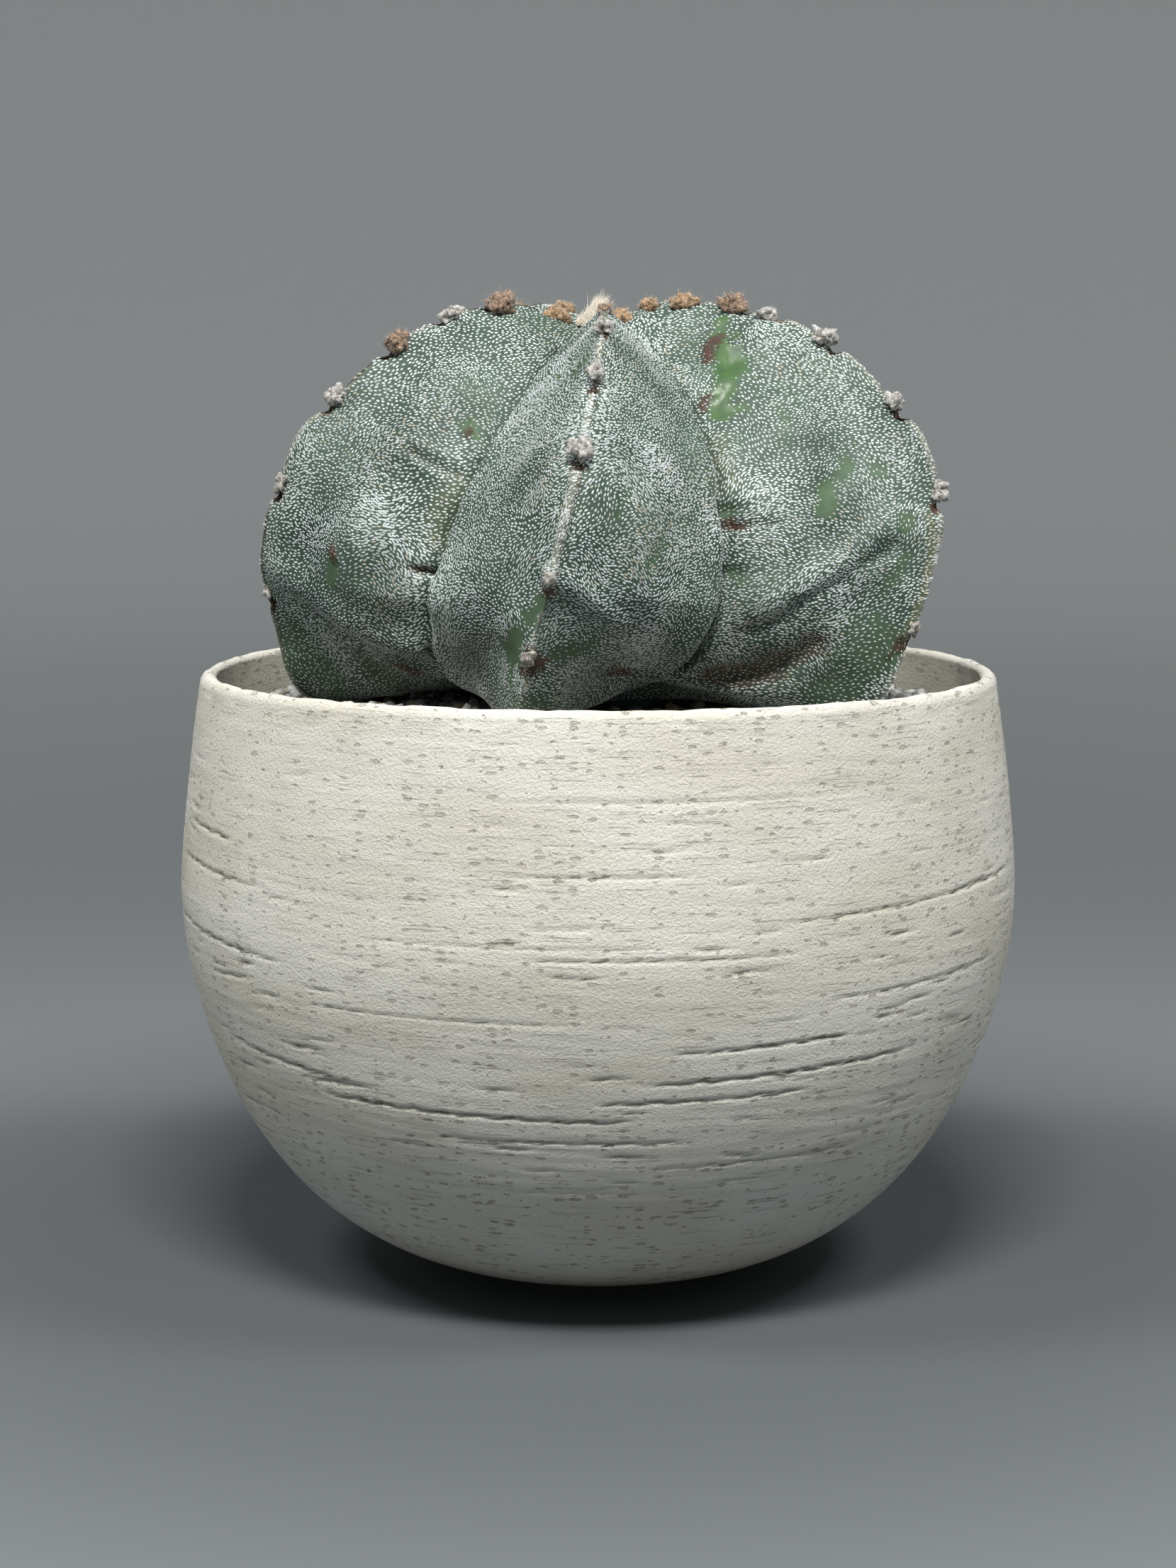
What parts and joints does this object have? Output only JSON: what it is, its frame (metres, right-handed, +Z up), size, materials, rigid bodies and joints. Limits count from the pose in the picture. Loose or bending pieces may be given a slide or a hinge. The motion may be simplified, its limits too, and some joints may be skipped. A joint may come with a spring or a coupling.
{
  "type": "potted bishop's cap cactus",
  "caption": "Broad ribbed spineless cactus with white flecks and woolly areoles, in a rough ivory clay bowl with a gravel dressing, for standing on a shelf.",
  "frame": {"origin": "middle of the foot ring's underside, on the surface that the bowl stands on", "axes": "+Z up through the plant, -Y towards the viewer's side, +X to the viewer's right"},
  "size_m": [0.1796, 0.1796, 0.2073],
  "materials": {
    "rough_clay": "matte",
    "net_plastic": "matte",
    "pumice": "matte",
    "potting_soil": "matte",
    "gravel": "matte",
    "cactus_skin": "matte"
  },
  "bodies": {
    "root": {"bowl": "rough_clay", "drain_net": "net_plastic", "pumice_layer": "pumice", "soil": "potting_soil", "gravel_dressing": "gravel", "cactus": "cactus_skin"}
  },
  "joints": []
}
